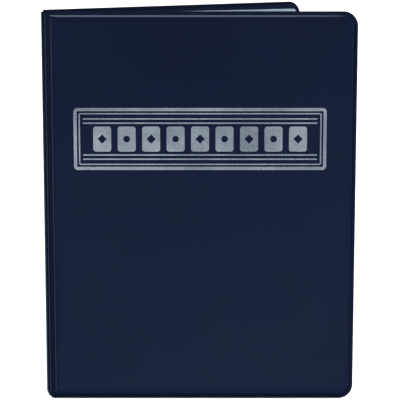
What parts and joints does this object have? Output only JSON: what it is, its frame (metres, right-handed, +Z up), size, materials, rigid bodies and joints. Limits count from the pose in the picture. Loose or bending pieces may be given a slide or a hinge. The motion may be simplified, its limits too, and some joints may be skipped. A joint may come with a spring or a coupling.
{
  "type": "trading card binder",
  "caption": "Upright welded vinyl album with two hinged covers, a narrow spine, a foil ornament and a fan of clear leaves with rows of card pockets.",
  "frame": {"origin": "middle of the standing album's box, on its lower edge", "axes": "+Z up along the spine; -Y out of the front cover, whose free edge points to +X; the back cover opens towards +Y"},
  "size_m": [0.238, 0.1385, 0.298],
  "materials": {
    "outer_vinyl": "gloss",
    "inner_vinyl": "satin",
    "board": "matte",
    "foil": "satin",
    "binding_film": "satin",
    "page_sheet": "satin",
    "pocket_film": "gloss"
  },
  "bodies": {
    "spine": {"spine_skin": "outer_vinyl", "spine_board": "board", "spine_liner": "inner_vinyl", "front_crease": "outer_vinyl", "back_crease": "outer_vinyl", "binding_strip": "binding_film", "bound_margins": "binding_film"},
    "front_cover": {"front_skin": "outer_vinyl", "front_board": "board", "front_liner": "inner_vinyl", "front_foil": "foil"},
    "back_cover": {"back_skin": "outer_vinyl", "back_board": "board", "back_liner": "inner_vinyl"},
    "leaf_01": {"leaf_01_sheet": "page_sheet", "leaf_01_pockets_low": "pocket_film", "leaf_01_pockets_mid": "pocket_film", "leaf_01_pockets_top": "pocket_film"},
    "leaf_02": {"leaf_02_sheet": "page_sheet", "leaf_02_pockets_low": "pocket_film", "leaf_02_pockets_mid": "pocket_film", "leaf_02_pockets_top": "pocket_film"},
    "leaf_03": {"leaf_03_sheet": "page_sheet", "leaf_03_pockets_low": "pocket_film", "leaf_03_pockets_mid": "pocket_film", "leaf_03_pockets_top": "pocket_film"},
    "leaf_04": {"leaf_04_sheet": "page_sheet", "leaf_04_pockets_low": "pocket_film", "leaf_04_pockets_mid": "pocket_film", "leaf_04_pockets_top": "pocket_film"},
    "leaf_05": {"leaf_05_sheet": "page_sheet", "leaf_05_pockets_low": "pocket_film", "leaf_05_pockets_mid": "pocket_film", "leaf_05_pockets_top": "pocket_film"},
    "leaf_06": {"leaf_06_sheet": "page_sheet", "leaf_06_pockets_low": "pocket_film", "leaf_06_pockets_mid": "pocket_film", "leaf_06_pockets_top": "pocket_film"},
    "leaf_07": {"leaf_07_sheet": "page_sheet", "leaf_07_pockets_low": "pocket_film", "leaf_07_pockets_mid": "pocket_film", "leaf_07_pockets_top": "pocket_film"},
    "leaf_08": {"leaf_08_sheet": "page_sheet", "leaf_08_pockets_low": "pocket_film", "leaf_08_pockets_mid": "pocket_film", "leaf_08_pockets_top": "pocket_film"},
    "leaf_09": {"leaf_09_sheet": "page_sheet", "leaf_09_pockets_low": "pocket_film", "leaf_09_pockets_mid": "pocket_film", "leaf_09_pockets_top": "pocket_film"},
    "leaf_10": {"leaf_10_sheet": "page_sheet", "leaf_10_pockets_low": "pocket_film", "leaf_10_pockets_mid": "pocket_film", "leaf_10_pockets_top": "pocket_film"}
  },
  "joints": [
    {"name": "front_hinge", "type": "hinge", "parent": "spine", "child": "front_cover", "pos_m": [-0.11255, -0.06684, 0.149], "axis": [0, 0, -1], "range_deg": [-13, 77]},
    {"name": "back_hinge", "type": "hinge", "parent": "spine", "child": "back_cover", "pos_m": [-0.11705, -0.04735, 0.149], "axis": [0, 0, 1], "range_deg": [-17, 73]},
    {"name": "leaf_01_flex", "type": "hinge", "parent": "spine", "child": "leaf_01", "pos_m": [-0.10528, -0.06275, 0.149], "axis": [0, 0, -1], "range_deg": [-10.92, 64.68]},
    {"name": "leaf_02_flex", "type": "hinge", "parent": "spine", "child": "leaf_02", "pos_m": [-0.10566, -0.06109, 0.149], "axis": [0, 0, -1], "range_deg": [-9.92, 58.72]},
    {"name": "leaf_03_flex", "type": "hinge", "parent": "spine", "child": "leaf_03", "pos_m": [-0.10605, -0.05943, 0.149], "axis": [0, 0, -1], "range_deg": [-8.91, 52.75]},
    {"name": "leaf_04_flex", "type": "hinge", "parent": "spine", "child": "leaf_04", "pos_m": [-0.10643, -0.05778, 0.149], "axis": [0, 0, -1], "range_deg": [-7.9, 46.78]},
    {"name": "leaf_05_flex", "type": "hinge", "parent": "spine", "child": "leaf_05", "pos_m": [-0.10681, -0.05612, 0.149], "axis": [0, 0, -1], "range_deg": [-6.89, 40.81]},
    {"name": "leaf_06_flex", "type": "hinge", "parent": "spine", "child": "leaf_06", "pos_m": [-0.10719, -0.05446, 0.149], "axis": [0, 0, -1], "range_deg": [-5.89, 34.85]},
    {"name": "leaf_07_flex", "type": "hinge", "parent": "spine", "child": "leaf_07", "pos_m": [-0.10758, -0.05281, 0.149], "axis": [0, 0, -1], "range_deg": [-4.88, 28.88]},
    {"name": "leaf_08_flex", "type": "hinge", "parent": "spine", "child": "leaf_08", "pos_m": [-0.10796, -0.05115, 0.149], "axis": [0, 0, -1], "range_deg": [-3.87, 22.91]},
    {"name": "leaf_09_flex", "type": "hinge", "parent": "spine", "child": "leaf_09", "pos_m": [-0.10834, -0.04949, 0.149], "axis": [0, 0, -1], "range_deg": [-2.86, 16.94]},
    {"name": "leaf_10_flex", "type": "hinge", "parent": "spine", "child": "leaf_10", "pos_m": [-0.10872, -0.04784, 0.149], "axis": [0, 0, 1], "range_deg": [-14.28, 61.32]}
  ],
  "couplings": [
    {"joint": "leaf_01_flex", "follows": "front_hinge", "ratio": 0.84},
    {"joint": "leaf_02_flex", "follows": "front_hinge", "ratio": 0.7625},
    {"joint": "leaf_03_flex", "follows": "front_hinge", "ratio": 0.685},
    {"joint": "leaf_04_flex", "follows": "front_hinge", "ratio": 0.6075},
    {"joint": "leaf_05_flex", "follows": "front_hinge", "ratio": 0.53},
    {"joint": "leaf_06_flex", "follows": "front_hinge", "ratio": 0.4525},
    {"joint": "leaf_07_flex", "follows": "front_hinge", "ratio": 0.375},
    {"joint": "leaf_08_flex", "follows": "front_hinge", "ratio": 0.2975},
    {"joint": "leaf_09_flex", "follows": "front_hinge", "ratio": 0.22},
    {"joint": "leaf_10_flex", "follows": "back_hinge", "ratio": 0.84}
  ]
}
